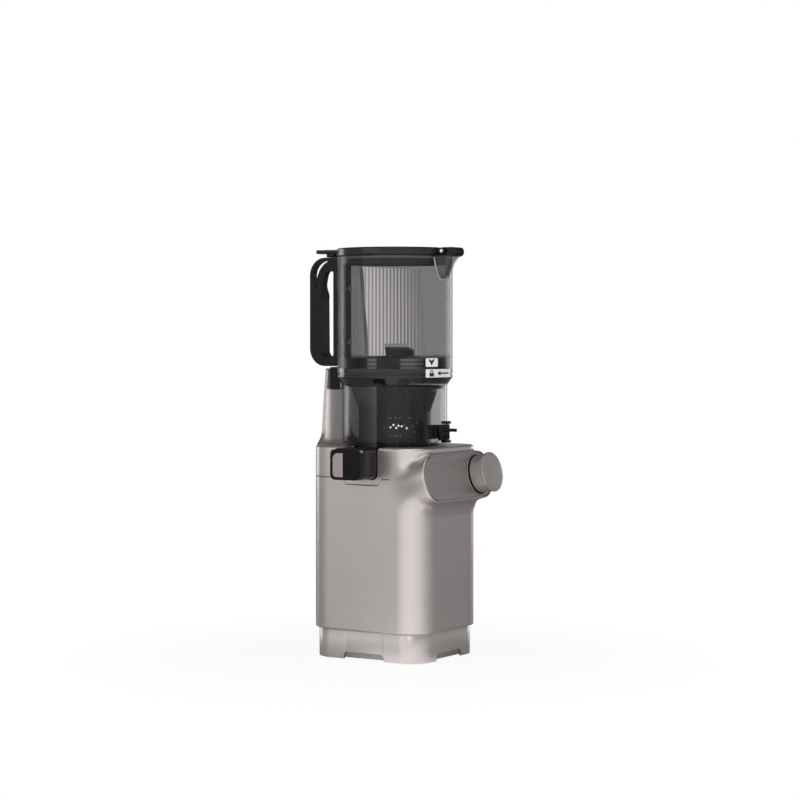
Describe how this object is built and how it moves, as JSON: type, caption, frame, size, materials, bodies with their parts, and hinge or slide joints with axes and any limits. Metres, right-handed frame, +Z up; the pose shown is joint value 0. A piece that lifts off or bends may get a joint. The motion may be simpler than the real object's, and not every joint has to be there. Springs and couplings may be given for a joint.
{
  "type": "cold press juicer",
  "caption": "Upright slow juicer: rounded motor base with a tilted control pod and knob, smoked juice bowl with spout, ribbed hopper with side handle and hinged lid.",
  "frame": {"origin": "on the floor under the middle of the whole object", "axes": "+Z up, -X towards the juice spout, -Y towards the control knob"},
  "size_m": [0.1717, 0.2142, 0.45],
  "materials": {
    "silver_paint": "satin",
    "panel_paint": "satin",
    "knob_metal": "satin",
    "smoked_clear": "gloss",
    "frosted_clear": "satin",
    "black_plastic": "gloss",
    "dark_plastic": "matte",
    "grey_plastic": "matte",
    "white_label": "matte",
    "rubber": "matte",
    "seal_silicone": "matte",
    "steel": "brushed",
    "gear_nylon": "matte",
    "bronze": "satin",
    "copper": "satin",
    "board": "matte"
  },
  "bodies": {
    "base": {"rubber_feet": "rubber", "bottom_plate": "silver_paint", "base_skirt": "silver_paint", "base_screws": "steel", "lower_housing": "silver_paint", "upper_housing": "silver_paint", "rear_column": "silver_paint", "column_screws": "steel", "front_pod": "silver_paint", "control_panel": "panel_paint", "knob_ring": "black_plastic", "rotary_switch": "grey_plastic", "control_board": "board", "cord_gland": "rubber", "motor_bracket": "steel", "bracket_screws": "steel", "motor_can": "steel", "motor_stator": "copper", "motor_bearings": "steel", "ring_gear": "steel", "gearbox_case": "grey_plastic", "shaft_bearing": "steel", "shaft_seal": "rubber"},
    "knob": {"knob_grip": "knob_metal", "knob_cap": "knob_metal", "knob_shaft": "steel"},
    "rotor": {"motor_rotor": "steel", "sun_gear": "steel"},
    "planet_a": {"planet_one": "gear_nylon"},
    "planet_b": {"planet_two": "gear_nylon"},
    "planet_c": {"planet_three": "gear_nylon"},
    "drive": {"planet_carrier": "steel", "drive_shaft": "steel"},
    "bowl": {"juice_bowl": "smoked_clear", "juice_spout": "black_plastic", "bowl_bush": "bronze", "bowl_seal": "seal_silicone", "pulp_packing": "rubber", "lever_pin": "steel", "cap_pin": "steel", "strainer": "dark_plastic", "strainer_cone": "dark_plastic", "lock_mark": "white_label"},
    "pulp_gate": {"pulp_lever": "black_plastic"},
    "juice_gate": {"juice_cap": "black_plastic", "cap_pad": "silver_paint"},
    "screw": {"auger": "dark_plastic"},
    "feeder": {"hopper": "smoked_clear", "hopper_collar": "dark_plastic", "feed_wall": "frosted_clear", "handle": "dark_plastic", "handle_screws": "steel", "handle_bracket": "black_plastic", "arrow_mark": "white_label", "lid_pin": "steel"},
    "cover": {"lid": "dark_plastic", "lid_tab": "dark_plastic", "lid_gasket": "seal_silicone"}
  },
  "joints": [
    {"name": "knob_turn", "type": "hinge", "parent": "base", "child": "knob", "pos_m": [0.05335, -0.08457, 0.201], "axis": [0, -0.9816, 0.1908], "range_deg": [-45, 45]},
    {"name": "drive_spin", "type": "hinge", "parent": "base", "child": "drive", "pos_m": [0.01335, -0.00107, 0.17], "axis": [0, 0, 1], "continuous": true},
    {"name": "rotor_spin", "type": "hinge", "parent": "base", "child": "rotor", "pos_m": [0.01335, -0.00107, 0.1], "axis": [0, 0, 1], "continuous": true},
    {"name": "planet_a_spin", "type": "hinge", "parent": "drive", "child": "planet_a", "pos_m": [0.03975, -0.00107, 0.157], "axis": [0, 0, 1], "continuous": true},
    {"name": "planet_b_spin", "type": "hinge", "parent": "drive", "child": "planet_b", "pos_m": [0.00015, 0.02179, 0.157], "axis": [0, 0, 1], "continuous": true},
    {"name": "planet_c_spin", "type": "hinge", "parent": "drive", "child": "planet_c", "pos_m": [0.00015, -0.02394, 0.157], "axis": [0, 0, 1], "continuous": true},
    {"name": "bowl_lift", "type": "slide", "parent": "base", "child": "bowl", "axis": [0, 0, 1], "range_m": [0, 0.12]},
    {"name": "auger_spin", "type": "hinge", "parent": "bowl", "child": "screw", "pos_m": [0.01335, -0.00107, 0.22], "axis": [0, 0, 1], "continuous": true},
    {"name": "pulp_lever_swing", "type": "hinge", "parent": "bowl", "child": "pulp_gate", "pos_m": [0.02135, -0.06427, 0.248], "axis": [0, 0, 1], "range_deg": [0, 70]},
    {"name": "juice_cap_swing", "type": "hinge", "parent": "bowl", "child": "juice_gate", "pos_m": [-0.08225, -0.00107, 0.23], "axis": [0, 1, 0], "range_deg": [0, 90]},
    {"name": "hopper_twist", "type": "hinge", "parent": "bowl", "child": "feeder", "pos_m": [0.01335, -0.00107, 0.33], "axis": [0, 0, 1], "range_deg": [0, 35]},
    {"name": "lid_swing", "type": "hinge", "parent": "feeder", "child": "cover", "pos_m": [0.01335, -0.06897, 0.446], "axis": [1, 0, 0], "range_deg": [0, 105]}
  ],
  "couplings": [
    {"joint": "rotor_spin", "follows": "drive_spin", "ratio": 4},
    {"joint": "planet_a_spin", "follows": "drive_spin", "ratio": -3},
    {"joint": "planet_b_spin", "follows": "drive_spin", "ratio": -3},
    {"joint": "planet_c_spin", "follows": "drive_spin", "ratio": -3},
    {"joint": "auger_spin", "follows": "drive_spin", "ratio": 1}
  ]
}
